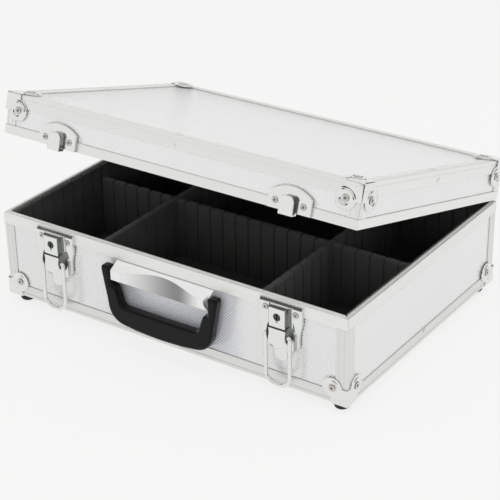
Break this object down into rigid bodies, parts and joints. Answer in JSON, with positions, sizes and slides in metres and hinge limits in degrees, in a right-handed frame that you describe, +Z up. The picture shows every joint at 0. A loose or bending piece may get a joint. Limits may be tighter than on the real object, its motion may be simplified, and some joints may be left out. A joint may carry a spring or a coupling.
{
  "type": "tool organizer box",
  "caption": "Rigid framed carry case with a rear-hinged lid, draw latches with locks, a swinging handle and ribbed foam dividers that part the inside into compartments",
  "frame": {"origin": "on the ground under the middle of the object's overall box, lid 16.2 degrees open", "axes": "+X to the right of a person facing the front, +Y from the front to the hinges, +Z up"},
  "size_m": [0.4654, 0.3596, 0.2541],
  "materials": {
    "faced_board": "fibre board under an embossed, clear-anodised aluminium skin",
    "anodised": "satin anodised, extruded profile",
    "chrome": "bright plated pressed steel",
    "lock_steel": "turned steel lock barrel",
    "cast_bracket": "cast and brushed",
    "black_plastic": "satin black moulding",
    "foot_rubber": "black moulded rubber",
    "foam": "charcoal ribbed foam"
  },
  "bodies": {
    "base": {"front_panel": "faced_board", "rear_panel": "faced_board", "left_panel": "faced_board", "right_panel": "faced_board", "bottom_panel": "faced_board", "rim_front": "anodised", "rim_rear": "anodised", "rim_left": "anodised", "rim_right": "anodised", "bottom_frame": "anodised", "post_front_left": "anodised", "post_front_right": "anodised", "post_rear_left": "anodised", "post_rear_right": "anodised", "cap_front_left": "chrome", "cap_front_right": "chrome", "cap_rear_left": "chrome", "cap_rear_right": "chrome", "foot_front_left": "foot_rubber", "foot_front_right": "foot_rubber", "foot_rear_left": "foot_rubber", "foot_rear_right": "foot_rubber", "floor_pad": "foam", "liner_front": "foam", "liner_rear": "foam", "liner_left": "foam", "liner_right": "foam", "divider_cross": "foam", "divider_left": "foam", "divider_right": "foam", "latch_plate_left": "chrome", "latch_plate_right": "chrome", "handle_bracket": "cast_bracket", "hinge_base_left": "chrome", "hinge_base_right": "chrome"},
    "lid": {"lid_top_panel": "faced_board", "lid_front_panel": "faced_board", "lid_rear_panel": "faced_board", "lid_left_panel": "faced_board", "lid_right_panel": "faced_board", "lid_pad": "foam", "lid_rim": "anodised", "lid_frame": "anodised", "lid_cap_front_left": "chrome", "lid_cap_front_right": "chrome", "lid_cap_rear_left": "chrome", "lid_cap_rear_right": "chrome", "lid_catch_left": "chrome", "lid_catch_right": "chrome", "hinge_lid_left": "chrome", "hinge_lid_right": "chrome"},
    "handle": {"handle_grip": "black_plastic"},
    "lever_left": {"latch_lever_left": "chrome"},
    "bail_left": {"latch_bail_left": "chrome"},
    "barrel_left": {"lock_barrel_left": "lock_steel"},
    "lever_right": {"latch_lever_right": "chrome"},
    "bail_right": {"latch_bail_right": "chrome"},
    "barrel_right": {"lock_barrel_right": "lock_steel"}
  },
  "joints": [
    {"name": "lid_hinge", "type": "hinge", "parent": "base", "child": "lid", "pos_m": [0, 0.16871, 0.1141], "axis": [-1, 0, 0], "range_deg": [-16.2, 79]},
    {"name": "handle_swing", "type": "hinge", "parent": "base", "child": "handle", "pos_m": [0, -0.17379, 0.0893], "axis": [-1, 0, 0], "range_deg": [0, 100]},
    {"name": "lever_left_swing", "type": "hinge", "parent": "base", "child": "lever_left", "pos_m": [-0.1515, -0.17329, 0.0825], "axis": [-1, 0, 0], "range_deg": [0, 90]},
    {"name": "bail_left_swing", "type": "hinge", "parent": "base", "child": "bail_left", "pos_m": [-0.1515, -0.17479, 0.0763], "axis": [-1, 0, 0], "range_deg": [0, 180]},
    {"name": "lock_left_turn", "type": "hinge", "parent": "base", "child": "barrel_left", "pos_m": [-0.1515, -0.17629, 0.0978], "axis": [0, 1, 0], "range_deg": [0, 90]},
    {"name": "lever_right_swing", "type": "hinge", "parent": "base", "child": "lever_right", "pos_m": [0.1515, -0.17329, 0.0825], "axis": [-1, 0, 0], "range_deg": [0, 90]},
    {"name": "bail_right_swing", "type": "hinge", "parent": "base", "child": "bail_right", "pos_m": [0.1515, -0.17479, 0.0763], "axis": [-1, 0, 0], "range_deg": [0, 180]},
    {"name": "lock_right_turn", "type": "hinge", "parent": "base", "child": "barrel_right", "pos_m": [0.1515, -0.17629, 0.0978], "axis": [0, 1, 0], "range_deg": [0, 90]}
  ]
}
